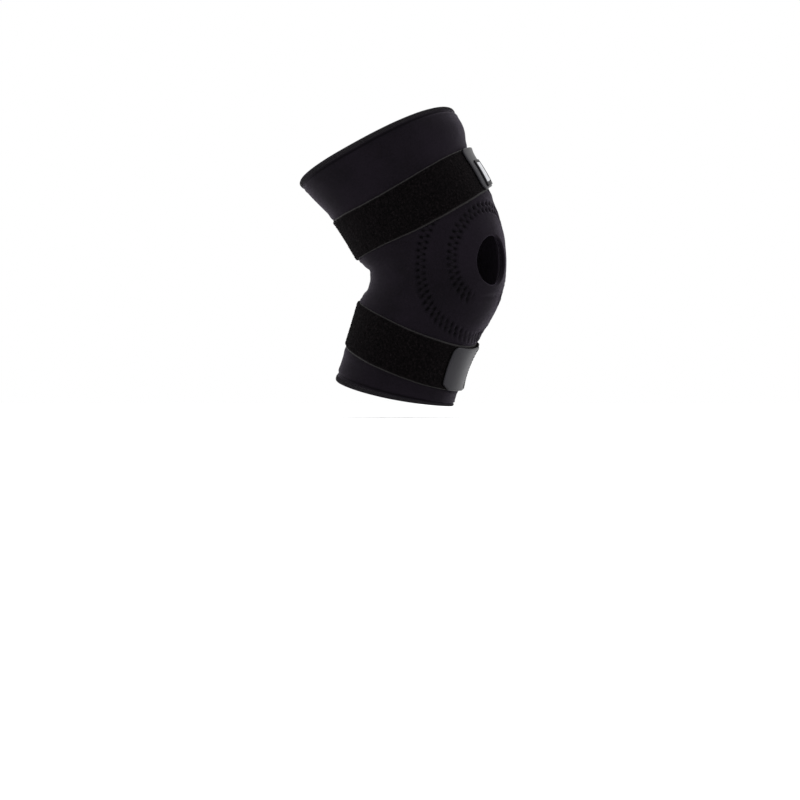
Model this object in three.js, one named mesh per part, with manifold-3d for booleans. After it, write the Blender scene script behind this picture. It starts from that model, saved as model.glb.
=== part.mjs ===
// A pull-on knee brace: a bent neoprene sleeve with an open kneecap, two zigzag seams round it, and a hook-and-loop
// strap above and below the knee, each closed by a moulded pull tab. It is for a right knee.
//
// Millimetres. +X is the front of the knee, +Z up, -Y the outer side of the leg. The origin is the knee's bending
// axis, which runs along Y. A place on the sleeve is three numbers: `at`, the distance up the middle of the leg,
// `turn`, the angle round the leg from the front towards the outer side, and `off`, the distance out of the sleeve.

import * as THREE from 'three';
import { mergeVertices } from 'three/addons/utils/BufferGeometryUtils.js';
import Module from 'manifold-3d';

const wasm = await Module();
wasm.setup();

// ---------------------------------------------------------------- driving dimensions

const SLEEVE_THICKNESS = 4;
const GAP = 0.4;
const LINING_GAP = 0.9; // between the sleeve and what is fixed inside it

// Cross sections of the leg that the sleeve is shaped to: centre, tilt in degrees, depth and width.
const FORM = [
  { at: -137, x: -40, z: -126.6, tilt: -11, depth: 123.5, width: 115 },
  { at: -112, x: -32, z: -102.5, tilt: -20.5, depth: 122.5, width: 110 },
  { at: -62, x: -14.8, z: -55.3, tilt: -20.5, depth: 126, width: 109 },
  { at: -28, x: 2, z: -26.4, tilt: -6, depth: 138.5, width: 115 },
  { at: 0, x: 8, z: 1.5, tilt: 5.5, depth: 141, width: 117 },
  { at: 47, x: -7.5, z: 45.5, tilt: 28, depth: 151.5, width: 122 },
  { at: 72, x: -20.4, z: 67.2, tilt: 30, depth: 152.5, width: 123 },
  { at: 98, x: -34.1, z: 88.7, tilt: 28, depth: 156, width: 128 },
  { at: 121, x: -44.4, z: 108.4, tilt: 27.5, depth: 170.5, width: 144 },
  { at: 143, x: -58.9, z: 126.6, tilt: 27.5, depth: 174.5, width: 156 },
];
const ROUNDNESS = 2.2; // a section's power: 2 is an ellipse, more is squarer
const TURN_STEP = 9; // degrees between the columns of every wrapped piece

// The rims are cut with their sides a little lower, and their backs higher than their fronts.
const RIM = { top: 144.5, bottom: -138, topDip: 1.5, bottomDip: 1.5, topLean: 0.5, bottomLean: 3 };
const HEM = { height: 4, proud: 0.7 };

// Rings round the kneecap opening. `side` is in degrees of turn, `up` and `down` along the leg.
const HOLE = { at: 0, turn: 16.5, up: 17, down: 17, side: 20.5 };
const INNER_SEAM = { at: 2, turn: 17, up: 33, down: 33, side: 43 };
const OUTER_SEAM = { at: 0, turn: 17, up: 53, down: 56, side: 73.5 };
const SEAM = { width: 7, thickness: 3.2, sunk: 0.5 };
const BUTTRESS = { thickness: 4.5, inset: 3 };
const LEG_PER_AT = 1.3; // millimetres of sleeve for each unit of `at` round the opening
const RING_RADIUS = 66; // of the leg round the opening

// The two straps. Each lies in a leaning plane: `at` is the middle of its run, and `lean` how much higher it passes at
// the turn `leanTo` and lower opposite. `tab` is the turn of its free edge.
const STRAP = { width: 50, thickness: 1.9, overlap: 62, tabLength: 42, layersApart: 10, hinge: 3.5 };
const UPPER = { at: 73, lean: -11.8, leanTo: 84, tab: 12, tabWidth: 49, tabShift: 0.5 };
const LOWER = { at: -84.8, lean: -5, leanTo: 60, tab: 29, tabWidth: 48, tabShift: 0 };
const HOOK = { thickness: 0.9, inset: 3 };
const TAB = { thickness: 2.4, corner: 8 };
const TAIL = { thickness: 1.3, rise: 9, root: 1 };
const BADGE = { length: 22, width: 28, border: 3.2, thickness: 1, along: 9, across: -8.5 };
const STITCHING = { length: 4, width: 42, thickness: 0.6 };
const TAPE = { turn: -135, width: 18, thickness: 0.6 };

// ---------------------------------------------------------------- materials

const look = (color, roughness, metalness = 0) => new THREE.MeshStandardMaterial({ color, roughness, metalness });
const NEOPRENE = look(0x1b181d, 0.75);
const FOAM = look(0x121113, 0.95);
const THREAD = look(0x0b0a0c, 0.7);
const PLUSH = look(0x121012, 0.98);
const HOOK_TAPE = look(0x0e0e10, 0.6);
const MOULDED_GREY = look(0x3d3a42, 0.35);
const FRAME_BLACK = look(0x0c0c0e, 0.4);
const BRIGHT_METAL = look(0xc9cbd2, 0.2, 1);

// ---------------------------------------------------------------- the surface of the leg

const radians = THREE.MathUtils.degToRad;

// A smooth curve through the form's sections for one of their values.
function along(value) {
  const n = FORM.length;
  const step = FORM.slice(1).map((s, i) => s.at - FORM[i].at);
  const slope = FORM.slice(1).map((s, i) => (s[value] - FORM[i][value]) / step[i]);
  const bend = new Array(n).fill(0);
  const ratio = new Array(n).fill(0);
  for (let i = 1; i < n - 1; i++) {
    const pivot = 2 * (step[i - 1] + step[i]) - step[i - 1] * ratio[i - 1];
    ratio[i] = step[i] / pivot;
    bend[i] = (6 * (slope[i] - slope[i - 1]) - step[i - 1] * bend[i - 1]) / pivot;
  }
  for (let i = n - 2; i > 0; i--) bend[i] -= ratio[i] * bend[i + 1];
  return (at) => {
    let i = 0;
    while (i < n - 2 && at > FORM[i + 1].at) i++;
    const t = at - FORM[i].at;
    const first = slope[i] - (step[i] * (2 * bend[i] + bend[i + 1])) / 6;
    return FORM[i][value] + t * (first + t * (bend[i] / 2 + (t * (bend[i + 1] - bend[i])) / (6 * step[i])));
  };
}

const centreX = along('x');
const centreZ = along('z');
const tiltAt = along('tilt');
const depthAt = along('depth');
const widthAt = along('width');

function surface(at, turn, off) {
  const cos = Math.cos(radians(turn));
  const sin = Math.sin(radians(turn));
  const across = Math.abs((2 * cos) / depthAt(at)) ** ROUNDNESS + Math.abs((2 * sin) / widthAt(at)) ** ROUNDNESS;
  const radius = across ** (-1 / ROUNDNESS) + off;
  const tilt = radians(tiltAt(at));
  return new THREE.Vector3(
    centreX(at) + radius * cos * Math.cos(tilt),
    -radius * sin,
    centreZ(at) + radius * cos * Math.sin(tilt),
  );
}

const rimLine = (at, dip, lean) => (turn) =>
  at - dip * Math.sin(radians(turn)) ** 2 - lean * Math.cos(radians(turn));

// The middle line of a strap, moved up the leg by a shift.
const strapLine = (strap, shift = 0) => (turn) =>
  strap.at + shift + strap.lean * Math.cos(radians(turn - strap.leanTo));

// The size of a step of one degree of turn, in millimetres, at a place on the leg.
function degreeAt(at, turn) {
  return surface(at, turn - 0.5, 0).distanceTo(surface(at, turn + 0.5, 0));
}

// ---------------------------------------------------------------- closed solids from a grid

// A grid of rows x columns with an under and an upper face, closed by walls. place(row, column, face) gives a point,
// with face 0 underneath and 1 on top. A wrapped grid's last column meets its first.
function slab(rows, columns, wrapped, place) {
  const points = [];
  const index = (row, column, face) => (face * rows + row) * columns + (column % columns);
  for (const face of [0, 1])
    for (let row = 0; row < rows; row++)
      for (let column = 0; column < columns; column++) points.push(place(row, column, face));
  const triangles = [];
  const quad = (a, b, c, d) => triangles.push(a, b, c, a, c, d);
  const spans = wrapped ? columns : columns - 1;
  for (let row = 0; row < rows - 1; row++)
    for (let c = 0; c < spans; c++) {
      quad(index(row, c, 1), index(row, c + 1, 1), index(row + 1, c + 1, 1), index(row + 1, c, 1));
      quad(index(row, c, 0), index(row + 1, c, 0), index(row + 1, c + 1, 0), index(row, c + 1, 0));
    }
  for (let c = 0; c < spans; c++) {
    quad(index(0, c, 0), index(0, c + 1, 0), index(0, c + 1, 1), index(0, c, 1));
    quad(index(rows - 1, c, 1), index(rows - 1, c + 1, 1), index(rows - 1, c + 1, 0), index(rows - 1, c, 0));
  }
  if (!wrapped)
    for (let row = 0; row < rows - 1; row++) {
      quad(index(row, 0, 0), index(row, 0, 1), index(row + 1, 0, 1), index(row + 1, 0, 0));
      const last = columns - 1;
      quad(index(row, last, 1), index(row, last, 0), index(row + 1, last, 0), index(row + 1, last, 1));
    }
  return outward(points, triangles);
}

// A geometry whose faces point out of it, whichever way its grid ran.
function outward(points, triangles) {
  let volume = 0;
  for (let i = 0; i < triangles.length; i += 3) {
    const [a, b, c] = [0, 1, 2].map((k) => points[triangles[i + k]]);
    volume += a.dot(new THREE.Vector3().crossVectors(b, c));
  }
  if (volume < 0) triangles.reverse();
  const geometry = new THREE.BufferGeometry().setFromPoints(points);
  geometry.setIndex(triangles);
  geometry.computeVertexNormals();
  return geometry;
}

const between = (from, to, count) =>
  Array.from({ length: count }, (_, i) => from + ((to - from) * i) / (count - 1));

// The turns of a wrapped strip's columns: its two ends, and every step of the common grid between them.
function turnsBetween(from, to) {
  const turns = [from];
  for (let k = Math.ceil(from / TURN_STEP + 0.1); k * TURN_STEP < to - 0.1 * TURN_STEP; k++) turns.push(k * TURN_STEP);
  turns.push(to);
  return turns;
}

// ---------------------------------------------------------------- the sleeve

// A tube of the sleeve from one height to another, each a function of the turn.
function tube(lower, upper, rows, inner, outer) {
  const columns = 360 / TURN_STEP;
  return slab(rows, columns, true, (row, column, face) => {
    const turn = column * TURN_STEP;
    const at = THREE.MathUtils.lerp(lower(turn), upper(turn), row / (rows - 1));
    return surface(at, turn, face ? outer : inner);
  });
}

const topRim = rimLine(RIM.top, RIM.topDip, RIM.topLean);
const bottomRim = rimLine(RIM.bottom, RIM.bottomDip, RIM.bottomLean);
// The sleeve's panels meet under the middle of the straps.
const upperJoint = strapLine(UPPER);
const lowerJoint = strapLine(LOWER);
const shifted = (height, by) => (turn) => height(turn) + by;

// A point at an angle round a ring, moved out by some millimetres.
function ringPoint(ring, angle, grow) {
  const sin = Math.sin(angle);
  const cos = Math.cos(angle);
  const rise = (sin > 0 ? ring.up : ring.down) + grow / LEG_PER_AT;
  const side = ring.side + THREE.MathUtils.radToDeg(grow / RING_RADIUS);
  return { at: ring.at + rise * sin, turn: ring.turn + side * cos };
}

const RING_STEPS = 40;

// A flat ring of the sleeve between two rings round the opening.
function annulus(ringA, growA, ringB, growB, rows, under, top) {
  return slab(rows, RING_STEPS, true, (row, column, face) => {
    const angle = (2 * Math.PI * column) / RING_STEPS;
    const a = ringPoint(ringA, angle, growA);
    const b = ringPoint(ringB, angle, growB);
    const t = row / (rows - 1);
    const at = THREE.MathUtils.lerp(a.at, b.at, t);
    return surface(at, THREE.MathUtils.lerp(a.turn, b.turn, t), face ? top : under);
  });
}

function solid(geometry) {
  const bare = new THREE.BufferGeometry().setAttribute('position', geometry.getAttribute('position'));
  bare.setIndex(geometry.index);
  const merged = mergeVertices(bare, 1e-4);
  return new wasm.Manifold(
    new wasm.Mesh({
      numProp: 3,
      vertProperties: new Float32Array(merged.attributes.position.array),
      triVerts: new Uint32Array(merged.index.array),
    }),
  );
}

function geometryOf(manifold) {
  const mesh = manifold.getMesh();
  const geometry = new THREE.BufferGeometry();
  geometry.setAttribute('position', new THREE.BufferAttribute(mesh.vertProperties, 3));
  geometry.setIndex(new THREE.BufferAttribute(mesh.triVerts, 1));
  geometry.computeVertexNormals();
  return geometry;
}

// The back and sides of the knee: a tube with the whole front inside the outer seam cut out.
function kneePanel() {
  const body = tube(shifted(lowerJoint, GAP), upperJoint, 12, -SLEEVE_THICKNESS, 0);
  const point = { at: OUTER_SEAM.at, turn: OUTER_SEAM.turn, up: 1, down: 1, side: 1 };
  const plug = annulus(point, 0, OUTER_SEAM, SEAM.width / 2 + GAP, 8, -SLEEVE_THICKNESS - 3, 3);
  const core = annulus(point, -0.5, point, 4, 2, -SLEEVE_THICKNESS - 3, 3);
  const middle = discOf(core, point);
  return geometryOf(solid(body).subtract(solid(plug)).subtract(middle));
}

// The convex middle of the cutter, which an annulus leaves open.
function discOf(geometry) {
  const p = geometry.getAttribute('position');
  const points = [];
  for (let i = 0; i < p.count; i++) points.push([p.getX(i), p.getY(i), p.getZ(i)]);
  return wasm.Manifold.hull(points);
}

const seamFace = { under: -SEAM.sunk - SEAM.thickness, top: -SEAM.sunk };
const seam = (ring) => annulus(ring, -SEAM.width / 2, ring, SEAM.width / 2, 2, seamFace.under, seamFace.top);

function frontPanel() {
  const clear = SEAM.width / 2 + GAP;
  return annulus(INNER_SEAM, clear, OUTER_SEAM, -clear, 4, -SLEEVE_THICKNESS, 0);
}

const patellaRing = () => annulus(HOLE, 0, INNER_SEAM, -SEAM.width / 2 - GAP, 3, -SLEEVE_THICKNESS, 0);

function patellaButtress() {
  const top = -SLEEVE_THICKNESS - LINING_GAP;
  return annulus(HOLE, BUTTRESS.inset, INNER_SEAM, -BUTTRESS.inset, 3, top - BUTTRESS.thickness, top);
}

// A bound edge: a round-cornered band that runs all round a rim. `out` is 1 on the top rim and -1 on the bottom one.
function hem(rim, out) {
  const low = -SLEEVE_THICKNESS - HEM.proud;
  const high = HEM.proud;
  const soft = HEM.height / 3;
  const section = [
    [-HEM.height, low + soft], [-HEM.height, high - soft], [-HEM.height + soft, high], [-soft, high],
    [0, high - soft], [0, low + soft], [-soft, low], [-HEM.height + soft, low],
  ];
  const columns = 360 / TURN_STEP;
  const points = [];
  const triangles = [];
  for (let c = 0; c < columns; c++)
    for (const [back, off] of section) points.push(surface(rim(c * TURN_STEP) + out * back, c * TURN_STEP, off));
  for (let c = 0; c < columns; c++)
    for (let s = 0; s < section.length; s++) {
      const next = (s + 1) % section.length;
      const [here, there] = [c * section.length, ((c + 1) % columns) * section.length];
      triangles.push(here + s, here + next, there + next, here + s, there + next, there + s);
    }
  return outward(points, triangles);
}

// The tape that closes the sleeve's back seam from the inside, one length on each panel.
function seamTape(lower, upper, rows) {
  const at = (row) => THREE.MathUtils.lerp(lower(TAPE.turn), upper(TAPE.turn), row / (rows - 1));
  const top = -SLEEVE_THICKNESS - LINING_GAP;
  return slab(rows, 3, false, (row, column, face) => {
    const half = TAPE.width / 2 / degreeAt(at(row), TAPE.turn);
    return surface(at(row), TAPE.turn + (column - 1) * half, face ? top : top - TAPE.thickness);
  });
}

// ---------------------------------------------------------------- the straps

const STRAP_UNDER = 0.5;
const STRAP_TOP = STRAP_UNDER + STRAP.thickness;
const HOOK_UNDER = STRAP_TOP + GAP;
const TAIL_UNDER = HOOK_UNDER + HOOK.thickness + GAP;
const TAB_TOP = TAIL_UNDER + TAB.thickness;
const ACROSS = 5;

// A strip along a strap. half(turn) is half its width, and under(turn) and top(turn) are its faces.
function strip(strap, turns, half, under, top, shift = 0) {
  const middle = strapLine(strap, shift);
  return slab(ACROSS, turns.length, false, (row, column, face) => {
    const turn = turns[column];
    const at = middle(turn) + half(turn) * ((2 * row) / (ACROSS - 1) - 1);
    return surface(at, turn, (face ? top : under)(turn));
  });
}

const always = (value) => () => value;
const tailRoot = (strap) => strap.tab - STRAP.overlap;
const tabRoot = (strap) => strap.tab - STRAP.tabLength;

// The looped layer, sewn down under the tail and running once round the leg.
function strapLoop(strap) {
  const from = tailRoot(strap) + STRAP.layersApart;
  const to = tailRoot(strap) - STRAP.hinge + 360;
  return strip(strap, turnsBetween(from, to), always(STRAP.width / 2), always(STRAP_UNDER), always(STRAP_TOP));
}

// The end of the strap, which climbs onto the looped layer and carries the tab.
function strapTail(strap) {
  const root = tailRoot(strap);
  const climb = (turn) => THREE.MathUtils.smoothstep(turn, root, root + TAIL.rise);
  const under = (turn) => THREE.MathUtils.lerp(TAIL.root, TAIL_UNDER, climb(turn));
  const end = tabRoot(strap) - 0.5;
  const turns = [...between(root, root + TAIL.rise, 5), end];
  return strip(strap, turns, always(STRAP.width / 2), under, (turn) => under(turn) + TAIL.thickness);
}

function hookTape(strap) {
  const turns = turnsBetween(tabRoot(strap), strap.tab - HOOK.inset);
  const half = always(strap.tabWidth / 2 - HOOK.inset);
  return strip(strap, turns, half, always(HOOK_UNDER), always(HOOK_UNDER + HOOK.thickness), strap.tabShift);
}

// The moulded pull tab, with round corners at its free end.
function tabCover(strap) {
  const degree = degreeAt(strap.at, strap.tab);
  const half = (turn) => {
    const left = Math.max(0, TAB.corner - (strap.tab - turn) * degree);
    return strap.tabWidth / 2 - TAB.corner + Math.sqrt(TAB.corner ** 2 - left ** 2);
  };
  const corner = TAB.corner / degree;
  const turns = turnsBetween(tabRoot(strap), strap.tab - corner).concat(
    [0.4, 0.7, 0.9, 1].map((t) => strap.tab - corner * (1 - t)),
  );
  return strip(strap, turns, half, always(TAIL_UNDER), always(TAB_TOP), strap.tabShift);
}

function anchorStitching(strap) {
  const from = tailRoot(strap) + STRAP.layersApart + 2;
  const turns = [from, from + STITCHING.length / degreeAt(strap.at, from)];
  const under = STRAP_TOP + GAP;
  return strip(strap, turns, always(STITCHING.width / 2), always(under), always(under + STITCHING.thickness));
}

// ---------------------------------------------------------------- the upper tab's plate

const PLATE_STEPS = { along: 4, across: 4 };

// A rectangle's outline as a closed run of points, evenly spaced on each side.
function rectangle(length, width) {
  const { along: nx, across: ny } = PLATE_STEPS;
  const corner = (x, y) => new THREE.Vector2((x * length) / 2, (y * width) / 2);
  const side = (from, to, n) => Array.from({ length: n }, (_, i) => from.clone().lerp(to, i / n));
  return [
    ...side(corner(-1, -1), corner(1, -1), nx), ...side(corner(1, -1), corner(1, 1), ny),
    ...side(corner(1, 1), corner(-1, 1), nx), ...side(corner(-1, 1), corner(-1, -1), ny),
  ];
}

// A place on the upper tab, in millimetres along it and across it from its middle.
function onTab(along, across, off) {
  const turn = UPPER.tab - STRAP.tabLength / 2 + along / degreeAt(UPPER.at, UPPER.tab - STRAP.tabLength / 2);
  return surface(strapLine(UPPER)(turn) + across, turn, off);
}

function badgeFrame() {
  const outer = rectangle(BADGE.length, BADGE.width);
  const inner = rectangle(BADGE.length - 2 * BADGE.border, BADGE.width - 2 * BADGE.border);
  return slab(2, outer.length, true, (row, column, face) => {
    const p = (row ? outer : inner)[column];
    return onTab(p.x + BADGE.along, p.y + BADGE.across, TAB_TOP + GAP + (face ? BADGE.thickness : 0));
  });
}

function badgePlate() {
  const { along: nx, across: ny } = PLATE_STEPS;
  const clear = 2 * (BADGE.border + GAP);
  return slab(ny + 1, nx + 1, false, (row, column, face) => {
    const x = (column / nx - 0.5) * (BADGE.length - clear);
    const y = (row / ny - 0.5) * (BADGE.width - clear);
    return onTab(x + BADGE.along, y + BADGE.across, TAB_TOP + GAP + (face ? BADGE.thickness * 0.7 : 0));
  });
}

// ---------------------------------------------------------------- the brace

function part(name, geometry, material) {
  const mesh = new THREE.Mesh(geometry, material);
  mesh.name = name;
  return mesh;
}

function sleeve() {
  const group = new THREE.Group();
  const underHem = HEM.height + GAP;
  const [top, bottom] = [shifted(topRim, -underHem), shifted(bottomRim, underHem)];
  const thigh = shifted(upperJoint, GAP);
  group.add(
    part('thigh_panel', tube(thigh, top, 6, -SLEEVE_THICKNESS, 0), NEOPRENE),
    part('knee_panel', kneePanel(), NEOPRENE),
    part('calf_panel', tube(bottom, lowerJoint, 5, -SLEEVE_THICKNESS, 0), NEOPRENE),
    part('front_panel', frontPanel(), NEOPRENE),
    part('patella_ring', patellaRing(), NEOPRENE),
    part('patella_buttress', patellaButtress(), FOAM),
    part('outer_zigzag_seam', seam(OUTER_SEAM), THREAD),
    part('inner_zigzag_seam', seam(INNER_SEAM), THREAD),
    part('top_hem', hem(topRim, 1), NEOPRENE),
    part('bottom_hem', hem(bottomRim, -1), NEOPRENE),
    part('thigh_seam_tape', seamTape(thigh, top, 6), NEOPRENE),
    part('knee_seam_tape', seamTape(shifted(lowerJoint, GAP), upperJoint, 8), NEOPRENE),
    part('calf_seam_tape', seamTape(bottom, lowerJoint, 5), NEOPRENE),
  );
  return group;
}

function closure(prefix, strap) {
  const group = new THREE.Group();
  group.add(
    part(prefix + '_strap', strapLoop(strap), PLUSH),
    part(prefix + '_strap_tail', strapTail(strap), PLUSH),
    part(prefix + '_hook_tape', hookTape(strap), HOOK_TAPE),
    part(prefix + '_tab', tabCover(strap), MOULDED_GREY),
    part(prefix + '_anchor_stitching', anchorStitching(strap), THREAD),
  );
  return group;
}

const brace = new THREE.Group();
brace.add(sleeve(), closure('upper', UPPER), closure('lower', LOWER));
brace.add(part('badge_frame', badgeFrame(), FRAME_BLACK), part('badge_plate', badgePlate(), BRIGHT_METAL));

export default brace;
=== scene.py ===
"""The looks of the knee brace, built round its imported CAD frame.

Lengths are millimetres until a mesh is made. A place on the sleeve is given as in the CAD: `at`, the
distance up the middle of the leg, `turn`, the angle in degrees round the leg from the front towards the
outer side, and `off`, the distance out of the sleeve's face.
"""

import math

import bpy
import numpy as np
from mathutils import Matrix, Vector


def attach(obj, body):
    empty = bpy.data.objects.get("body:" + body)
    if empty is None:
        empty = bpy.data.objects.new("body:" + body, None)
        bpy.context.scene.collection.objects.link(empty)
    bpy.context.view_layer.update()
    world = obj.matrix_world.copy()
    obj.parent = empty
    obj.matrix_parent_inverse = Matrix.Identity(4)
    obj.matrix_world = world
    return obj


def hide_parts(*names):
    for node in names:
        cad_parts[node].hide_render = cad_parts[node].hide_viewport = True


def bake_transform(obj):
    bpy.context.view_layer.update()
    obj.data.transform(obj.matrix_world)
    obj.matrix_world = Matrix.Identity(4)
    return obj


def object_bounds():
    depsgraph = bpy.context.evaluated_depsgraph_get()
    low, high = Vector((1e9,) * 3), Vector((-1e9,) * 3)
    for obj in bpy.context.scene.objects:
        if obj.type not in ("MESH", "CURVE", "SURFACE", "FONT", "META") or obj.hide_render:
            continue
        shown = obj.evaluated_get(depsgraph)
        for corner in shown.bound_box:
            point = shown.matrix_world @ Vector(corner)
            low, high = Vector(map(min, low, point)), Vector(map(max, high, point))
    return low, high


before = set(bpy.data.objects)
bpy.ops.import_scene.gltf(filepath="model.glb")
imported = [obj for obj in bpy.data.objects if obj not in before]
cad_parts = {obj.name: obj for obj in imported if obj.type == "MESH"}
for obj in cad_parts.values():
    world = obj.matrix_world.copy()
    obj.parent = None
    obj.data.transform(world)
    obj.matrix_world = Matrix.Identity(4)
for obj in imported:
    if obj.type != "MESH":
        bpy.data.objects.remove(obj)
CAD_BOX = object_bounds()

MM = 0.001
RNG = np.random.default_rng(11)

# ------------------------------------------------------------------ the leg's form, as in the CAD

# at, centre x, centre z, tilt in degrees, depth, width
FORM = np.array([
    (-137, -40, -126.6, -11, 123.5, 115),
    (-112, -32, -102.5, -20.5, 122.5, 110),
    (-62, -14.8, -55.3, -20.5, 126, 109),
    (-28, 2, -26.4, -6, 138.5, 115),
    (0, 8, 1.5, 5.5, 141, 117),
    (47, -7.5, 45.5, 28, 151.5, 122),
    (72, -20.4, 67.2, 30, 152.5, 123),
    (98, -34.1, 88.7, 28, 156, 128),
    (121, -44.4, 108.4, 27.5, 170.5, 144),
    (143, -58.9, 126.6, 27.5, 174.5, 156),
], float)
ROUNDNESS = 2.2
SLEEVE_THICKNESS = 4
RIM = dict(top=dict(at=144.5, dip=1.5, lean=0.5), bottom=dict(at=-138, dip=1.5, lean=3))

HOLE = dict(at=0, turn=16.5, up=17, down=17, side=20.5)
INNER_SEAM = dict(at=2, turn=17, up=33, down=33, side=43)
OUTER_SEAM = dict(at=0, turn=17, up=53, down=56, side=73.5)

# In degrees of turn: how far a strap's end overlaps its start, the tab's length, the gap between the end's
# root and the start, and how far before its root the end begins to peel. A tab's corners are the sizes of
# its upper and lower corner, and whether the lower one is cut straight.
STRAP = dict(width=50, overlap=62, tab_length=42, layers_apart=10, hinge=3.5)
UPPER = dict(name="upper", at=73, lean=-11.8, lean_to=84, tab=12, tab_width=49, tab_shift=0.5,
             body="thigh", end="upper_tab_end", corners=(4, 7, False))
LOWER = dict(name="lower", at=-84.8, lean=-5, lean_to=60, tab=29, tab_width=48, tab_shift=0,
             body="calf", end="lower_tab_end", corners=(5, 8, True))


def natural_spline(x, y):
    """A smooth curve through the form's sections."""
    n = len(x)
    h = np.diff(x)
    slope = np.diff(y) / h
    lhs, rhs = np.eye(n), np.zeros(n)
    for i in range(1, n - 1):
        lhs[i, i - 1:i + 2] = h[i - 1], 2 * (h[i - 1] + h[i]), h[i]
        rhs[i] = 6 * (slope[i] - slope[i - 1])
    bend = np.linalg.solve(lhs, rhs)

    def curve(at):
        i = np.clip(np.searchsorted(x, at) - 1, 0, n - 2)
        t = at - x[i]
        first = slope[i] - h[i] * (2 * bend[i] + bend[i + 1]) / 6
        return y[i] + t * (first + t * (bend[i] / 2 + t * (bend[i + 1] - bend[i]) / (6 * h[i])))

    return curve


CENTRE_X, CENTRE_Z, TILT, DEPTH, WIDTH = (natural_spline(FORM[:, 0], FORM[:, k]) for k in range(1, 6))


def leg(at, turn):
    """The points of the plain leg form."""
    at, turn = np.broadcast_arrays(np.asarray(at, float), np.asarray(turn, float))
    c, s = np.cos(np.radians(turn)), np.sin(np.radians(turn))
    depth, width = np.abs(2 * c / DEPTH(at)), np.abs(2 * s / WIDTH(at))
    radius = (depth ** ROUNDNESS + width ** ROUNDNESS) ** (-1 / ROUNDNESS)
    tilt = np.radians(TILT(at))
    x = CENTRE_X(at) + radius * c * np.cos(tilt)
    z = CENTRE_Z(at) + radius * c * np.sin(tilt)
    return np.stack([x, -radius * s, z], -1)


def unit(v):
    return v / np.linalg.norm(v, axis=-1, keepdims=True)


def leg_frame(at, turn):
    """The leg form's points, their outward normals, and their steps for a unit of `at` and a degree."""
    step = 0.4
    up = (leg(at + step, turn) - leg(at - step, turn)) / (2 * step)
    side = (leg(at, turn + step) - leg(at, turn - step)) / (2 * step)
    return leg(at, turn), unit(np.cross(up, side)), up, side


def shell(at, turn, off):
    """Points a distance out of the leg form, square to it."""
    at, turn, off = np.broadcast_arrays(*(np.asarray(v, float) for v in (at, turn, off)))
    p, n, _, _ = leg_frame(at, turn)
    return p + n * off[..., None]


def smooth(low, high, x):
    t = np.clip((x - low) / (high - low), 0, 1)
    return t * t * (3 - 2 * t)


def strap_line(strap, turn):
    """The middle line of a strap, which lies in a leaning plane."""
    return strap["at"] + strap["lean"] * np.cos(np.radians(turn - strap["lean_to"]))


def turn_from(turn, middle):
    """The turn's distance from another, from -180 to 180."""
    return (np.asarray(turn) - middle + 180) % 360 - 180


# ------------------------------------------------------------------ soft noise, the same on each run

def noise(points, scale, seed, octaves=3):
    """Smooth noise from about -1 to 1 at points in millimetres; scale is the size of its lumps."""
    rng = np.random.default_rng(seed)
    total, weight = np.zeros(len(points)), 0.0
    for octave in range(octaves):
        grid = rng.random((32, 32, 32)) * 2 - 1
        q = points / (scale / 2 ** octave) + rng.random(3) * 32
        cell = np.floor(q).astype(int)
        f = q - cell
        f = f * f * (3 - 2 * f)
        value = 0
        for dx in (0, 1):
            for dy in (0, 1):
                for dz in (0, 1):
                    w = np.abs(1 - dx - f[:, 0]) * np.abs(1 - dy - f[:, 1]) * np.abs(1 - dz - f[:, 2])
                    value = value + w * grid[tuple((cell + (dx, dy, dz)).T % 32)]
        total += value / 2 ** octave
        weight += 1 / 2 ** octave
    return total / weight


# ------------------------------------------------------------------ meshes

def place_object(name, data):
    obj = bpy.data.objects.new(name, data)
    bpy.context.scene.collection.objects.link(obj)
    return obj


def make_mesh(name, points, faces, uv, painted_shade=None):
    """A mesh object from points in millimetres. uv, and the painted shade if given, hold one entry for each
    point.
    """
    mesh = bpy.data.meshes.new(name)
    mesh.from_pydata((np.asarray(points) * MM).tolist(), [], [list(map(int, f)) for f in faces])
    mesh.validate()
    loops = np.empty(len(mesh.loops), int)
    mesh.loops.foreach_get("vertex_index", loops)
    layer = mesh.uv_layers.new(name="Cloth")
    layer.data.foreach_set("uv", (np.asarray(uv)[loops] * MM).ravel())
    # Painted shade: a point attribute that the neoprene material uses to darken its colour where shade falls.
    if painted_shade is not None:
        attribute = mesh.attributes.new("painted_shade", "FLOAT", "POINT")
        attribute.data.foreach_set("value", np.asarray(painted_shade, np.float32))
    mesh.polygons.foreach_set("use_smooth", np.ones(len(mesh.polygons), bool))
    return place_object(name, mesh)


def grid_faces(rows, columns, start=0, wrapped=False):
    """A grid's quads, with its points numbered from start; a wrapped grid's last column meets its first."""
    across = columns if wrapped else columns - 1
    r, c = np.meshgrid(np.arange(rows - 1), np.arange(across), indexing="ij")
    a = start + r * columns + c
    b = start + r * columns + (c + 1) % columns
    return np.stack([a, b, b + columns, a + columns], -1).reshape(-1, 4)


def closed_strip(name, top, bottom, uv):
    """A solid from two grids of points of the same size, joined by walls round their edges."""
    rows, columns = top.shape[:2]
    size = rows * columns
    faces = grid_faces(rows, columns)
    edge = outline(rows, columns)
    following = np.roll(edge, -1)
    walls = np.stack([following, edge, edge + size, following + size], -1)
    points = np.concatenate([top.reshape(-1, 3), bottom.reshape(-1, 3)])
    uv = np.concatenate([uv.reshape(-1, 2)] * 2)
    return make_mesh(name, points, np.concatenate([faces, faces[:, ::-1] + size, walls]), uv)


def outline(rows, columns):
    """The vertex numbers round a grid's edge, in the order of the grid's faces."""
    bottom = np.arange(columns)
    right = np.arange(1, rows) * columns + columns - 1
    top = ((rows - 1) * columns + np.arange(columns - 1))[::-1]
    left = (np.arange(1, rows - 1) * columns)[::-1]
    return np.concatenate([bottom, right, top, left])


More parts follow.
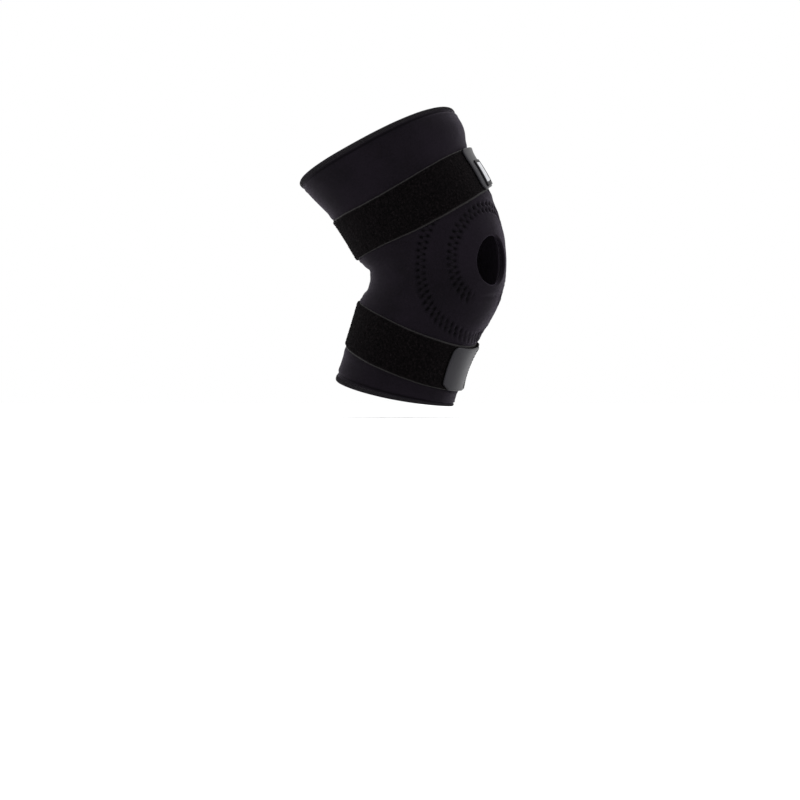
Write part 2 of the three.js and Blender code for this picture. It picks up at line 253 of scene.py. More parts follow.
def tubes(name, paths, radius, sides=6, squash=1.0, normals=None):
    """One mesh of many tubes, one along each path of points, whose ends close nearly to a point.
    With normals, each tube is flattened along them."""
    points, faces, uvs, base = [], [], [], 0
    ring = 2 * np.pi * np.arange(sides) / sides
    for k, path in enumerate(paths):
        tangent = unit(np.gradient(path, axis=0))
        up = normals[k] if normals is not None else np.broadcast_to((0.31, 0.17, 0.94), path.shape)
        across = unit(np.cross(tangent, up))
        up = np.cross(across, tangent)
        r = np.full(len(path), float(radius))
        r[0] = r[-1] = radius * 0.35
        section = np.cos(ring)[:, None] * across[:, None] + squash * np.sin(ring)[:, None] * up[:, None]
        points.append((path[:, None] + r[:, None, None] * section).reshape(-1, 3))
        length = np.concatenate([[0], np.cumsum(np.linalg.norm(np.diff(path, axis=0), axis=1))])
        place = np.broadcast_arrays(length[:, None], radius * ring[None])
        uvs.append(np.stack(place, -1).reshape(-1, 2))
        faces.extend(grid_faces(len(path), sides, base, wrapped=True).tolist())
        first = np.arange(base, base + sides)
        faces.append(first[::-1].tolist())
        faces.append((first + (len(path) - 1) * sides).tolist())
        base += len(path) * sides
    return make_mesh(name, np.concatenate(points), faces, np.concatenate(uvs))


# ------------------------------------------------------------------ materials

class Paint:
    """A new material, with short ways to add nodes to it."""

    def __init__(self, name):
        self.material = bpy.data.materials.new(name)
        self.material.use_nodes = True
        self.shader = self.material.node_tree.nodes["Principled BSDF"]

    def feed(self, socket, value):
        """Links a socket to another node's, or sets it to a plain value."""
        if isinstance(value, bpy.types.NodeSocket):
            self.material.node_tree.links.new(value, socket)
        else:
            socket.default_value = value

    def add(self, kind, inputs=(), **settings):
        node = self.material.node_tree.nodes.new(kind)
        for key, value in settings.items():
            setattr(node, key, value)
        for key, value in dict(inputs).items():
            self.feed(node.inputs[key], value)
        return node

    def surface(self, inputs):
        """Sets the shader's sockets and returns the material."""
        for key, value in inputs.items():
            self.feed(self.shader.inputs[key], value)
        return self.material

    def math(self, operation, *values):
        return self.add("ShaderNodeMath", enumerate(values), operation=operation).outputs[0]

    def blend(self, a, share_a, b, share_b):
        return self.math("ADD", self.math("MULTIPLY", a, share_a), self.math("MULTIPLY", b, share_b))

    def waves(self, value, pitch):
        return self.math("SINE", self.math("MULTIPLY", value, 2 * math.pi / pitch))

    def noise(self, place, scale, detail=2.0, roughness=0.5):
        inputs = {"Vector": place, "Scale": scale, "Detail": detail, "Roughness": roughness}
        return self.add("ShaderNodeTexNoise", inputs).outputs["Fac"]

    def ramp(self, fac, *stops):
        """A colour ramp with stops of (place, colour)."""
        node = self.add("ShaderNodeValToRGB", {"Fac": fac})
        elements = node.color_ramp.elements
        while len(elements) < len(stops):
            elements.new(0.5)
        for element, (place, colour) in zip(elements, stops):
            element.position = place
            element.color = (*colour, 1)
        return node.outputs["Color"]

    def bump(self, height, distance, strength, under=None):
        inputs = {"Height": height, "Distance": distance, "Strength": strength}
        if under is not None:
            inputs["Normal"] = under
        return self.add("ShaderNodeBump", inputs).outputs["Normal"]

    def object_place(self):
        return self.add("ShaderNodeTexCoord").outputs["Object"]

    def cloth_place(self):
        """The cloth's own two directions, in metres, from the mesh's UV layer."""
        uv = self.add("ShaderNodeUVMap", uv_map="Cloth").outputs["UV"]
        return self.add("ShaderNodeSeparateXYZ", {0: uv}).outputs[:2]

    def knit(self, pitch_along, pitch_across):
        """The height of a jersey knit: columns of small V shapes."""
        along, across = self.cloth_place()
        lean = self.math("ABSOLUTE", self.waves(across, 2 * pitch_across))
        row = self.math("MULTIPLY", along, 2 * math.pi / pitch_along)
        stitch = self.math("SINE", self.math("ADD", row, self.math("MULTIPLY", lean, 2.6)))
        return self.math("ADD", self.math("MULTIPLY", stitch, 0.5), lean)


def shade(colour, share):
    return tuple(share * v for v in colour)


def neoprene_material(name, light, sheen):
    """Black nylon jersey laminated on neoprene: fine knit, soft sheen, mottling, and painted shade in needle
    holes and hem grooves.
    """
    paint = Paint(name)
    place = paint.object_place()
    patches = paint.noise(place, 26, 4, 0.55)
    tone = paint.blend(paint.noise(place, 1000, 3, 0.65), 0.6, patches, 0.45)
    colour = paint.ramp(tone, (0.38, shade(light, 0.4)), (0.53, light), (0.68, shade(light, 1.5)))
    # Painted shade: the mesh's point attribute darkens the colour by up to 85 % in needle holes and hem
    # grooves.
    pulled = paint.add("ShaderNodeAttribute", attribute_name="painted_shade").outputs["Fac"]
    left = paint.math("MULTIPLY_ADD", pulled, -0.85, 1.0)
    coarse = paint.bump(paint.noise(place, 320, 3, 0.6), 0.00025, 0.55)
    darkened = paint.add("ShaderNodeVectorMath", {0: colour, "Scale": left}, operation="SCALE")
    return paint.surface({
        "Base Color": darkened.outputs[0],
        "Roughness": paint.math("MULTIPLY_ADD", patches, 0.25, 0.5),
        "Specular IOR Level": 0.035,
        "Sheen Weight": sheen,
        "Sheen Roughness": 0.38,
        "Sheen Tint": (0.66, 0.54, 0.76, 1),
        "Normal": paint.bump(paint.knit(0.0011, 0.0009), 0.00012, 0.6, coarse),
    })


def plush_material(name, light):
    """Brushed loop plush: a matte pile with specks of light fibre."""
    paint = Paint(name)
    place = paint.object_place()
    fibre = paint.noise(place, 1100, 3, 0.7)
    clump = paint.noise(place, 460, 3, 0.65)
    tone = paint.blend(fibre, 0.5, clump, 0.55)
    return paint.surface({
        "Base Color": paint.ramp(tone, (0.47, shade(light, 0.12)), (0.57, light), (0.7, shade(light, 3.6))),
        "Roughness": 0.95,
        "Specular IOR Level": 0.02,
        "Sheen Weight": 0.025,
        "Sheen Roughness": 0.6,
        "Sheen Tint": (0.66, 0.6, 0.64, 1),
        "Normal": paint.bump(fibre, 0.0006, 0.9, paint.bump(clump, 0.0012, 0.9)),
    })


def webbing_material(name, light):
    """Woven tape: fine ribs across it."""
    paint = Paint(name)
    along, across = paint.cloth_place()
    weave = paint.math("ADD", paint.waves(along, 0.0012), paint.waves(across, 0.0009))
    mottle = paint.noise(paint.object_place(), 700, 3, 0.6)
    return paint.surface({
        "Base Color": paint.ramp(paint.blend(weave, 0.12, mottle, 1), (0.3, shade(light, 0.5)), (0.7, light)),
        "Roughness": 0.7,
        "Specular IOR Level": 0.15,
        "Sheen Weight": 0.05,
        "Normal": paint.bump(weave, 0.00015, 0.7),
    })


def thread_material(name, colour, gloss):
    """Twisted polyester thread."""
    paint = Paint(name)
    along, across = paint.cloth_place()
    twist = paint.math("SINE", paint.blend(along, 2 * math.pi / 0.0011, across, 2 * math.pi / 0.0014))
    half = paint.math("MULTIPLY_ADD", twist, 0.5, 0.5)
    return paint.surface({
        "Base Color": paint.ramp(half, (0.1, shade(colour, 0.4)), (0.9, colour)),
        "Roughness": 0.5,
        "Specular IOR Level": gloss,
        "Normal": paint.bump(twist, 0.00012, 0.8),
    })


def moulded_material(name, colour, roughness, coat, gloss=0.26):
    """Moulded plastic: a fine satin grain under a faint clear gloss."""
    paint = Paint(name)
    place = paint.object_place()
    cloud = paint.noise(place, 45, 3)
    return paint.surface({
        "Base Color": paint.ramp(cloud, (0.3, shade(colour, 0.8)), (0.7, colour)),
        "Roughness": paint.math("MULTIPLY_ADD", cloud, 0.18, roughness - 0.09),
        "Specular IOR Level": gloss,
        "Specular Tint": (0.92, 0.9, 1.0, 1),
        "Coat Weight": coat,
        "Coat Roughness": 0.12,
        "Normal": paint.bump(paint.noise(place, 1400), 0.00006, 0.5),
    })


def metal_material(name):
    """Bright brushed metal."""
    paint = Paint(name)
    stretched = paint.add("ShaderNodeMapping", {"Vector": paint.object_place(), "Scale": (1, 0.05, 1)})
    lines = paint.noise(stretched.outputs["Vector"], 2600, 3, 0.6)
    return paint.surface({
        "Metallic": 1,
        "Base Color": paint.ramp(lines, (0.3, (0.48, 0.49, 0.52)), (0.7, (0.72, 0.73, 0.76))),
        "Roughness": paint.math("MULTIPLY_ADD", lines, 0.22, 0.1),
        "Normal": paint.bump(lines, 0.00002, 0.4),
    })


def finish_piece(obj, material, nodes=()):
    obj.data.materials.append(material)
    if nodes:
        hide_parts(*nodes)
    return obj


def bends(obj):
    """Bakes the piece's placing into its points."""
    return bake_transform(obj)


NEOPRENE = neoprene_material("neoprene_jersey", (0.0050, 0.0036, 0.0058), sheen=0.125)
BINDING = neoprene_material("edge_binding", (0.008, 0.007, 0.0085), sheen=0.12)
PLUSH = plush_material("loop_plush", (0.0022, 0.0016, 0.0018))
WEBBING = webbing_material("strap_webbing", (0.0125, 0.0105, 0.011))
THREAD = thread_material("sewing_thread", (0.0035, 0.003, 0.0035), gloss=0.05)
EDGE_THREAD = thread_material("overlock_thread", (0.024, 0.021, 0.025), gloss=0.12)
TAB_GREY = moulded_material("grey_moulded_tab", (0.0085, 0.008, 0.0095), 0.4, 0.06)
TAB_BLACK = moulded_material("black_moulded_frame", (0.006, 0.0055, 0.0065), 0.4, 0.04, gloss=0.08)
HOOKS = moulded_material("hook_tape", (0.016, 0.016, 0.018), 0.55, 0.0)
METAL = metal_material("bright_plate")
FIBRE = plush_material("pile_fibre", (0.0085, 0.007, 0.0075))


# ------------------------------------------------------------------ rings round the kneecap opening

class Ring:
    """A closed line on the sleeve round the opening, measured along its length."""

    STEPS = 720

    def __init__(self, ring, fade):
        """fade: the least strength, and how many degrees from the bottom the seam starts and ends fading."""
        self.fade = fade
        angle = 2 * np.pi * np.arange(self.STEPS) / self.STEPS
        rise = np.where(np.sin(angle) > 0, ring["up"], ring["down"])
        self.at = ring["at"] + rise * np.sin(angle)
        self.turn = ring["turn"] + ring["side"] * np.cos(angle)
        self.points, self.normal, up, side = leg_frame(self.at, self.turn)
        closed = np.concatenate([self.points, self.points[:1]])
        self.reach = np.concatenate([[0], np.cumsum(np.linalg.norm(np.diff(closed, axis=0), axis=1))])
        self.length = self.reach[-1]
        tangent = unit(np.roll(self.points, -1, 0) - np.roll(self.points, 1, 0))
        outward = np.cross(tangent, self.normal)
        middle = leg(ring["at"], ring["turn"])
        flip = np.sign(np.sum(outward * (self.points - middle), -1, keepdims=True))
        self.outward = unit(outward * flip)
        # How far `at` and `turn` go for a millimetre outward.
        basis = np.stack([up, side], -1)
        self.grow = np.stack([np.linalg.lstsq(b, o, rcond=None)[0] for b, o in zip(basis, self.outward)])

    def place(self, s, d):
        """`at` and `turn` of points s along the ring and d outward from it."""
        i = np.interp(np.asarray(s) % self.length, self.reach, np.arange(self.STEPS + 1))
        t = i - np.floor(i)
        a = np.floor(i).astype(int) % self.STEPS
        b = (a + 1) % self.STEPS
        known = np.column_stack([self.at, self.turn, self.grow])
        at, turn, grow_at, grow_turn = (known[a] * (1 - t)[..., None] + known[b] * t[..., None]).T
        return at + grow_at * d, turn + grow_turn * d

    def strength(self, s):
        """How strongly the seam shows, and the angle round the ring. The seam fades out under the kneecap."""
        angles = 360 * np.arange(self.STEPS + 1) / self.STEPS
        angle = np.interp(np.asarray(s) % self.length, self.reach, angles)
        least, near, far = self.fade
        return least + (1 - least) * smooth(near, far, np.abs(angle - 270)), angle

    def measure(self, points):
        """The distance along the ring and the signed distance outward of points near it."""
        s, d = np.empty(len(points)), np.empty(len(points))
        for k in range(0, len(points), 4000):
            q = points[k:k + 4000]
            gap = np.linalg.norm(q[:, None] - self.points[None], axis=-1)
            i = gap.argmin(1)
            away = q - self.points[i]
            d[k:k + 4000] = np.sum(away * self.outward[i], -1)
            tangent = unit(np.roll(self.points, -1, 0)[i] - np.roll(self.points, 1, 0)[i])
            s[k:k + 4000] = self.reach[i] + np.sum(away * tangent, -1)
        return s % self.length, d


SEAM_PITCH = 6.6
COLUMN = 3.6  # the distance of each row of needle holes from the seam's middle
RINGS = {"outer": Ring(OUTER_SEAM, (0.35, 4, 16)), "inner": Ring(INNER_SEAM, (0.0, 22, 34))}


def stitches_round(ring):
    return round(ring.length / SEAM_PITCH)


def seam_marks(ring, s, d):
    """The pull of one zigzag seam on the sleeve's face, and the painted shade in its needle holes and thread
    furrows.
    """
    pitch = ring.length / stitches_round(ring)
    strength, angle = ring.strength(s)
    # Below the opening the cloth is stretched, which draws the holes out and slants them.
    drawn = smooth(0.0, 0.55, -np.sin(np.radians(angle)))
    holes = np.zeros(len(s))
    for side in (-1, 1):
        uneven = 1 + 0.22 * np.sin(0.83 * s + side) + 0.16 * np.sin(2.1 * s + 2 * side)
        across = d - side * (COLUMN + 0.35 * np.sin(0.37 * s + side))
        first = (0.25 + 0.25 * side) * pitch
        along = (s + 0.4 * drawn * across - first + pitch / 2) % pitch - pitch / 2
        holes += uneven * np.exp(-(along / 1.65) ** 2 - (across / (1.95 + 1.1 * drawn)) ** 2)
    # Each thread runs from a hole in one row to the next hole in the other.
    phase = (s / pitch) % 1
    furrow = np.zeros(len(s))
    for start, slope in ((0.0, 1), (0.5, -1)):
        t = (phase - start) % 1
        line = (2 * t - 0.5) * slope * 2 * COLUMN
        inside = smooth(-0.02, 0.08, t) * (1 - smooth(0.42, 0.52, t))
        furrow += inside * np.exp(-((d - line) / 1.3) ** 2) * (np.abs(d) < COLUMN + 1)
    swell = np.exp(-((np.abs(d) - COLUMN - 3.4) / 2.4) ** 2) + 0.7 * np.exp(-(d / 1.8) ** 2)
    height = -1.8 * holes - 0.4 * furrow + 0.4 * swell
    # The second value is painted shade, darker in the needle holes and along the thread furrows.
    return height * strength, np.clip(holes + 0.4 * furrow, 0, 1) * strength


# ------------------------------------------------------------------ the sleeve

def lines_between(breaks, steps):
    """Grid lines with a step of their own between each two breaks."""
    lines = []
    for a, b, step in zip(breaks[:-1], breaks[1:], steps):
        lines.append(np.linspace(a, b, max(2, int(math.ceil((b - a) / step)) + 1))[:-1])
    return np.concatenate([*lines, breaks[-1:]])


# The folds behind the knee: each one's middle up the leg, its height and its width.
KNEE_FOLDS = ((26, 0.3, 9), (11, -0.5, 8), (-3, 0.6, 7), (-16, -0.4, 7), (-30, -1.5, 9))
CLOSING_TURN = -135


def strap_press(at, turn):
    """How the straps squeeze the sleeve, and how it swells beside them."""
    press = 0
    for strap in (UPPER, LOWER):
        away = np.abs(at - strap_line(strap, turn)) - STRAP["width"] / 2
        press = press - 0.9 * (1 - smooth(-5, 0.5, away))
        press = press + 0.8 * np.exp(-((away - 3.2) / 3.2) ** 2)
    return press


def knee_folds(at, turn):
    """Soft folds in the hollow behind the bent knee, fading round the sides."""
    behind = np.exp(-(turn_from(turn, 180) / 50) ** 2)
    level = at + 5 * np.sin(np.radians(turn_from(turn, 180) * 1.7))
    folds = 0
    for centre, depth, width in KNEE_FOLDS:
        folds = folds + depth * np.exp(-((level - centre) / width) ** 2)
    return folds * behind


def loose_cloth(points):
    """Shallow unevenness of a sleeve pulled on by hand."""
    return 0.55 * noise(points, 46, 5, 2) + 0.16 * noise(points, 11, 6, 2)


def kneecap_crease(at, turn):
    """The faint crease under the opening, where the padded ring ends."""
    line = -27 - 0.10 * (turn - 40)
    along = smooth(-5, 12, turn) * (1 - smooth(38, 52, turn))
    return along * (-0.7 * np.exp(-((at - line) / 1.5) ** 2) + 0.5 * np.exp(-((at - line - 4) / 3) ** 2))


def closing_seam(turn):
    """The furrow of the seam that closes the sleeve, on the back of its inner side."""
    return -0.75 * np.exp(-(turn_from(turn, CLOSING_TURN)) ** 2)


def rim_at(which, turn):
    """How far up the leg a rim is."""
    angle = np.radians(turn)
    rim = RIM[which]
    return rim["at"] - rim["dip"] * np.sin(angle) ** 2 - rim["lean"] * np.cos(angle)


def hem_groove(at, turn):
    """The furrow that the rims' stitching pulls into the sleeve, and the painted shade in it."""
    depth, painted_shade = 0, 0
    for which in RIM:
        inward = np.abs(rim_at(which, turn) - at)
        depth = depth - np.exp(-((inward - 5.7) / 0.8) ** 2) + 0.35 * np.exp(-((inward - 8.5) / 1.8) ** 2)
        depth = depth - 0.5 * (1 - smooth(0, 5, inward))
        # Painted shade darkens the colour along the groove.
        painted_shade = painted_shade + 0.8 * np.exp(-((inward - 5.7) / 0.9) ** 2)
    return depth, painted_shade


def inner_relief(at, turn):
    """The relief of the sleeve's inner face."""
    return strap_press(at, turn) + knee_folds(at, turn)


SEAM_REACH = 16  # how far out a zigzag seam marks the sleeve


def sleeve_relief(at, turn, points):
    """The height of the sleeve's face over the plain form, and the painted shade in its needle holes and hem
    grooves.
    """
    flat_at, flat_turn = at.ravel(), turn.ravel()
    groove, painted_shade = hem_groove(flat_at, flat_turn)
    height = inner_relief(flat_at, flat_turn) + groove + loose_cloth(points)
    height = height + kneecap_crease(flat_at, flat_turn) + closing_seam(flat_turn)
    near = (np.abs(turn_from(flat_turn, OUTER_SEAM["turn"])) < 100) & (np.abs(flat_at) < 75)
    for ring in RINGS.values():
        s, d = ring.measure(points[near])
        pulled, holes = seam_marks(ring, s, d)
        height[near] += pulled * (np.abs(d) < SEAM_REACH)
        # The holes' painted shade adds to the hem grooves' painted shade.
        painted_shade[near] += holes * (np.abs(d) < SEAM_REACH)
    return height.reshape(at.shape), painted_shade.reshape(at.shape)


def sleeve_grid():
    """`at` and `turn` for each point of the sleeve's grid, and which points the opening takes away.
    A block of cells is drawn out to the opening's round edge."""
    side, rise = HOLE["side"], HOLE["up"]
    bottom, top = RIM["bottom"]["at"], RIM["top"]["at"]
    levels = [bottom, -127, -66, -HOLE["down"], rise, 60, 133, top]
    rows = lines_between(levels, [0.6, 1.7, 0.72, 0.72, 0.72, 1.7, 0.6])
    left, right = HOLE["turn"] - side, HOLE["turn"] + side
    turns = [CLOSING_TURN, -130, -68, left, right, 96, 220, CLOSING_TURN + 360]
    columns = lines_between(turns, [0.6, 1.7, 0.9, 0.85, 0.85, 1.7, 0.6])[:-1]
    turn, at = np.meshgrid(columns, rows)
    at = (at + smooth(60, top, at) * (rim_at("top", turn) - top)
          + smooth(-66, bottom, at) * (rim_at("bottom", turn) - bottom))
    u = turn_from(turn, HOLE["turn"]) / side
    v = (at - HOLE["at"]) / rise
    level = np.maximum(np.abs(u), np.abs(v))
    length = np.hypot(u, v)
    scale = np.where(length > 0, level / np.maximum(length, 1e-9), 1)
    mix = 1 - smooth(1, 2.3, level)
    scale = 1 + (scale - 1) * mix
    inside = (np.abs(u) < 1 - 1e-6) & (np.abs(v) < 1 - 1e-6)
    at = np.where(mix > 0, HOLE["at"] + v * scale * rise, at)
    turn = np.where(mix > 0, HOLE["turn"] + u * scale * side, turn)
    return at, turn, inside


# The wall between the sleeve's two faces: how deep each line of it is, and how far it bulges.
WALL = ((0.12, 0.35), (0.35, 0.75), (0.65, 0.75), (0.88, 0.35))


def free_edges(faces, size):
    """The edges that only one face uses: the rims' and the opening's."""
    edges = np.concatenate([faces[:, [k, (k + 1) % 4]] for k in range(4)])
    key = np.sort(edges, 1)
    _, index, count = np.unique(key[:, 0] * size + key[:, 1], return_index=True, return_counts=True)
    return edges[index[count == 1]]


def wall_push(at, points, normal, up):
    """Where each point of the wall bulges: into the opening, or out past the rim."""
    to_middle = leg(HOLE["at"], HOLE["turn"]) - points
    to_middle -= np.sum(to_middle * normal, -1, keepdims=True) * normal
    at_opening = np.abs(at) < 40
    return np.where(at_opening[:, None], unit(to_middle), unit(up) * np.sign(at)[:, None])


def make_sleeve():
    """The sleeve's two faces and a rounded wall between them."""
    at, turn, inside = sleeve_grid()
    rows, columns = at.shape
    size = rows * columns
    base, normal, up, _ = leg_frame(at, turn)
    relief, painted_shade = sleeve_relief(at, turn, base.reshape(-1, 3))
    outer = (base + normal * relief[..., None]).reshape(-1, 3)
    inner = (base + normal * (inner_relief(at, turn) - SLEEVE_THICKNESS)[..., None]).reshape(-1, 3)

    faces = grid_faces(rows, columns, wrapped=True)
    faces = faces[~inside.ravel()[faces].any(1)]
    free = free_edges(faces, size)
    loop = np.unique(free)
    number = np.full(size, -1)
    number[loop] = np.arange(len(loop))
    push = wall_push(at.ravel()[loop], *(v.reshape(-1, 3)[loop] for v in (base, normal, up)))
    points, chain = [outer, inner], [free]
    for line, (depth, bulge) in enumerate(WALL):
        points.append(outer[loop] * (1 - depth) + inner[loop] * depth + push * bulge)
        chain.append(2 * size + line * len(loop) + number[free])
    chain.append(free + size)
    walls = [np.stack([a[:, 1], a[:, 0], b[:, 0], b[:, 1]], -1) for a, b in zip(chain[:-1], chain[1:])]
    faces = np.concatenate([faces, faces[:, ::-1] + size, *walls])

    waist = np.concatenate([base[rows // 2], base[rows // 2, :1]])
    girth = np.cumsum(np.linalg.norm(np.diff(waist, axis=0), axis=-1))
    girth = np.concatenate([[0], girth[:-1]])
    uv = np.stack(np.broadcast_arrays(girth[None], at), -1).reshape(-1, 2)
    uv = np.concatenate([uv, uv] + [uv[loop]] * len(WALL))
    # Painted shade on the outer face only; the inner face and the wall get none.
    painted_shade = np.concatenate([painted_shade.ravel(), np.zeros(size + len(loop) * len(WALL))])
    return compact("sleeve", np.concatenate(points), faces, uv, painted_shade)


def compact(name, points, faces, uv, painted_shade):
    """A mesh of only the points that its faces use."""
    used = np.unique(faces)
    number = np.full(len(points), -1)
    number[used] = np.arange(len(used))
    return make_mesh(name, points[used], number[faces], uv[used], painted_shade[used])


SLEEVE_NODES = ["thigh_panel", "knee_panel", "calf_panel", "front_panel", "patella_ring"]
sleeve = finish_piece(make_sleeve(), NEOPRENE, SLEEVE_NODES)
bends(sleeve)


def make_seam_thread(which):
    """The zigzag threads, each from one needle hole to the next in the other row."""
    ring = RINGS[which]
    count = stitches_round(ring)
    pitch = ring.length / count
    paths, normals = [], []
    t = np.linspace(0, 1, 9)
    for k in range(2 * count):
        side = 1 if k % 2 else -1
        s = (k + t) * pitch / 2 + RNG.normal(0, 0.12)
        if ring.strength(s)[0].min() < 0.3:
            continue
        at, turn = ring.place(s, side * COLUMN * (1 - 2 * t))
        p, n, _, _ = leg_frame(at, turn)
        relief, _ = sleeve_relief(at, turn, p)
        off = relief - 0.02 - 0.5 * (np.abs(2 * t - 1) ** 5)
        paths.append(p + n * off[:, None])
        normals.append(n)
    thread = tubes(which + "_zigzag_thread", paths, 0.4, sides=6, squash=0.6, normals=normals)
    return finish_piece(thread, THREAD, [which + "_zigzag_seam"])


for which in RINGS:
    bends(make_seam_thread(which))


# ------------------------------------------------------------------ the bound edges

HEM_HEIGHT = 2.3  # half the binding's height
HEM_DEPTH = SLEEVE_THICKNESS / 2 + 0.35  # half its thickness
HEM_MIDDLE = -SLEEVE_THICKNESS / 2 - 0.3
OVERLOCK_STITCHES = dict(top=290, bottom=215)
BEYOND = dict(top=1, bottom=-1)  # which way along the leg is off the sleeve


def rounded(v):
    """A cosine or a sine, pushed out so that the circle gets blunt sides."""
    return np.sign(v) * np.abs(v) ** 0.72


def make_binding(which):
    """The rim's binding, a soft tube round the sleeve's edge."""
    turn = np.arange(0, 360, 1.0)
    angle = 2 * np.pi * np.arange(28) / 28
    uneven = 0.16 * noise(leg(rim_at(which, turn), turn), 9, 21, 2)[:, None]
    rise = HEM_HEIGHT * rounded(np.cos(angle)) + uneven
    depth = HEM_DEPTH * rounded(np.sin(angle)) * (1 + 0.05 * uneven)
    at = rim_at(which, turn)[:, None] - BEYOND[which] * (HEM_HEIGHT - rise)
    points = shell(at, turn[:, None], depth + HEM_MIDDLE).reshape(-1, 3)
    faces = grid_faces(len(turn) + 1, len(angle), wrapped=True) % len(points)
    uv = np.stack(np.broadcast_arrays(angle * 2.6, turn[:, None] * 1.25), -1).reshape(-1, 2)
    binding = make_mesh(which + "_binding", points, faces[:, ::-BEYOND[which]], uv)
    return finish_piece(binding, BINDING, [which + "_hem"])


def make_overlock(which):
    """One slanted loop of thread after another over the binding."""
    t = np.linspace(-0.12, 1.12, 15)
    angle = (0.5 - t) * np.pi * 1.15
    rise = 1.07 * HEM_HEIGHT * rounded(np.cos(angle))
    depth = 1.12 * HEM_DEPTH * rounded(np.sin(angle))
    count = OVERLOCK_STITCHES[which]
    paths = []
    for k in range(count):
        turn = 360 * k / count + RNG.normal(0, 0.12) + 2.4 * (t - 0.5)
        at = rim_at(which, turn) - BEYOND[which] * (HEM_HEIGHT - rise)
        paths.append(shell(at, turn, depth + HEM_MIDDLE))
    threads = tubes(which + "_overlock_thread", paths, 0.3, sides=5)
    return finish_piece(threads, EDGE_THREAD)


for which, body in (("top", "thigh"), ("bottom", "calf")):
    for make in (make_binding, make_overlock):
        piece = make(which)
        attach(piece, body)


# ------------------------------------------------------------------ the straps

# Distances out of the sleeve's face, from the looped layer to the top of the tab.
STRAP_UNDER = 0.35
WEB_THICKNESS = 0.8
PILE_THICKNESS = 1.3
STRAP_TOP = STRAP_UNDER + WEB_THICKNESS + PILE_THICKNESS
HOOK_UNDER = STRAP_TOP + 0.2
HOOK_THICKNESS = 0.9
TAB_UNDER = HOOK_UNDER + HOOK_THICKNESS
TAB_THICKNESS = 2.3
TAB_TOP = TAB_UNDER + TAB_THICKNESS
TAIL_ROOT = 1.0
TAIL_UNDER = TAB_UNDER + 0.3
SELVEDGE = 1.3  # the webbing that shows beside the pile


def strap_turns(first, last, step=0.9):
    return np.linspace(first, last, int(math.ceil((last - first) / step)) + 1)


def strap_press_on(points):
    """The strap follows the larger lumps of what is under it."""
    return 0.35 * noise(points.reshape(-1, 3), 40, 5, 2).reshape(points.shape[:-1])


def each_turn(value, turns):
    """A number, or a function of the turns, as one value for each turn."""
    return value(turns) if callable(value) else np.full(len(turns), float(value))


def strap_layer(name, strap, turns, half, under, top, rows, material, edge_round, relief=0.0, edge_wave=0.0):
    """A strip along a strap between two distances out of the sleeve, with rounded edges."""
    t = np.linspace(-1, 1, rows)[:, None]
    turn = np.broadcast_to(turns, (rows, len(turns)))
    middle = strap_line(strap, turn)
    at = middle + t * (half + edge_wave * noise(leg(middle[0], turns), 17, 31, 2))
    from_edge = np.clip((1 - np.abs(t)) * half / edge_round, 0, 1)
    fall = edge_round * (1 - np.sqrt(1 - (1 - from_edge) ** 2))
    p, n, _, _ = leg_frame(at, turn)
    press = strap_press_on(p)
    rough = 0
    if relief:
        flat = p.reshape(-1, 3)
        rough = relief * (noise(flat, 2.6, 41, 2) + 0.6 * noise(flat, 1.2, 43, 1)).reshape(at.shape)
    upper = p + n * (each_turn(top, turns) - fall * 0.9 + rough + press)[..., None]
    lower = p + n * (each_turn(under, turns) + press)[..., None]
    piece = closed_strip(name, upper, lower, np.stack([turn * 1.15, at], -1))
    return finish_piece(piece, material)


def degree_at(strap, turn):
    """The length of one degree of turn, in millimetres."""
    at = strap_line(strap, turn)
    return float(np.linalg.norm(leg(at, turn + 0.5) - leg(at, turn - 0.5)))


def make_pile_fibres(name, strap, first, last, half, off, count):
    """Loops of fibre that stand out of the pile."""
    rng = np.random.default_rng(len(name) * 7 + int(first))
    turn = rng.uniform(first, last, count)
    at = strap_line(strap, turn) + rng.uniform(-half, half, count)
    p, n, up, side = leg_frame(at, turn)
    heading = rng.uniform(0, 2 * np.pi, count)
    along = unit(up) * np.cos(heading)[:, None] + unit(side) * np.sin(heading)[:, None]
    reach, rise = rng.uniform(0.5, 1.3, count), rng.uniform(0.25, 0.6, count)
    base = p + n * (each_turn(off, turn) + strap_press_on(p))[:, None]
    t = np.linspace(-1, 1, 5)[:, None]
    buried = 0.2
    arch = (1 - t * t) * (rise + buried) - buried
    paths = [base[k] + along[k] * t * reach[k] + n[k] * arch[:, k:k + 1] for k in range(count)]
    return finish_piece(tubes(name, paths, 0.085, sides=3), FIBRE)


def make_strap_loop(strap):
    """The layer that runs once round the leg, and the stitches that hold its start."""
    name, half = strap["name"], STRAP["width"] / 2
    root = strap["tab"] - STRAP["overlap"]
    first, last = root + STRAP["layers_apart"], root - STRAP["hinge"] + 360
    web_top = STRAP_UNDER + WEB_THICKNESS
    web = strap_layer(name + "_strap_webbing", strap, strap_turns(first, last), half, STRAP_UNDER, web_top,
                      9, WEBBING, edge_round=0.3, edge_wave=0.3)
    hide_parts(name + "_strap")
    pile_turns, half = strap_turns(first + 0.3, last - 0.3, 0.62), half - SELVEDGE
    pile = strap_layer(name + "_strap_plush", strap, pile_turns, half, web_top - 0.15, STRAP_TOP,
                       70, PLUSH, edge_round=1.0, relief=0.32, edge_wave=0.3)
    bare = strap["tab"] + 2
    fibres = make_pile_fibres(name + "_strap_fibres", strap, bare, last - 1, half - 0.8, STRAP_TOP, 5200)
    for piece in (web, pile, fibres):
        bends(piece)
    make_anchor_stitching(strap, first + 2)


def zigzag(knots, *values):
    """Values given at knots, filled in with three steps between each two."""
    steps = np.linspace(0, knots - 1, (knots - 1) * 4 + 1)
    return (steps, *(np.interp(steps, np.arange(knots), v) for v in values))


